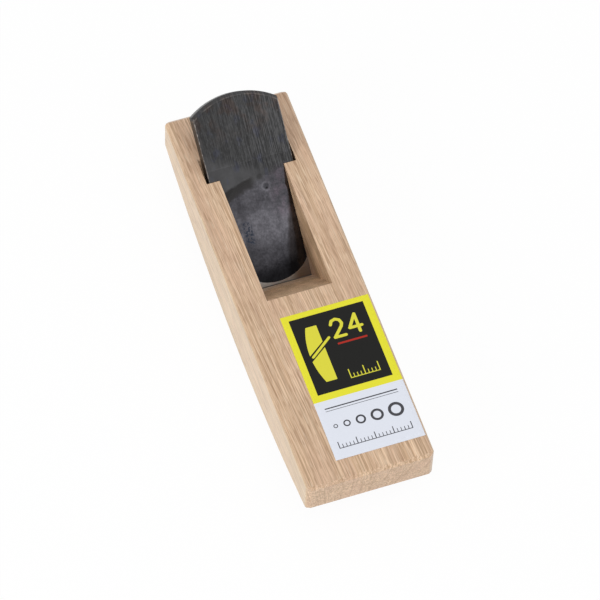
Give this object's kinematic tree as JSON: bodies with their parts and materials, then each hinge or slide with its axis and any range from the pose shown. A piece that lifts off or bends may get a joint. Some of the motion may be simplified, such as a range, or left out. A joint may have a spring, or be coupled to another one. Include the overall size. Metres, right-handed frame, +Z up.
{
  "type": "compass plane",
  "caption": "Small wooden compass plane: oak block with a sole rounded along its length, a thick tapered blade wedged in side grooves over an open throat, and a paper label on top.",
  "frame": {"origin": "bottom centre of the bounding box, level with the lowest line of the sole and in the middle of the block's length and width", "axes": "+Y along the block towards the blade's head, +X across the block to the right when looking along +Y, +Z up, square to the flat top of the block"},
  "size_m": [0.035, 0.12, 0.0321],
  "materials": {
    "oak": "planed oak, bare and unfinished, straight grain along the block",
    "soft_iron": "forged soft iron with a black skin, drawn-filed lengthwise on the face",
    "hard_steel": "hard steel, blue-grey in the ground hollow and polished on the land and the bevel",
    "paper": "printed paper sticker with a smooth coated face"
  },
  "bodies": {
    "stock": {"block": "oak", "label": "paper"},
    "blade": {"blade_iron": "soft_iron", "blade_steel": "hard_steel"}
  },
  "joints": [
    {"name": "blade_slide", "type": "slide", "parent": "stock", "child": "blade", "axis": [0, 0.8192, 0.5736], "range_m": [-0.0004, 0.038]}
  ]
}
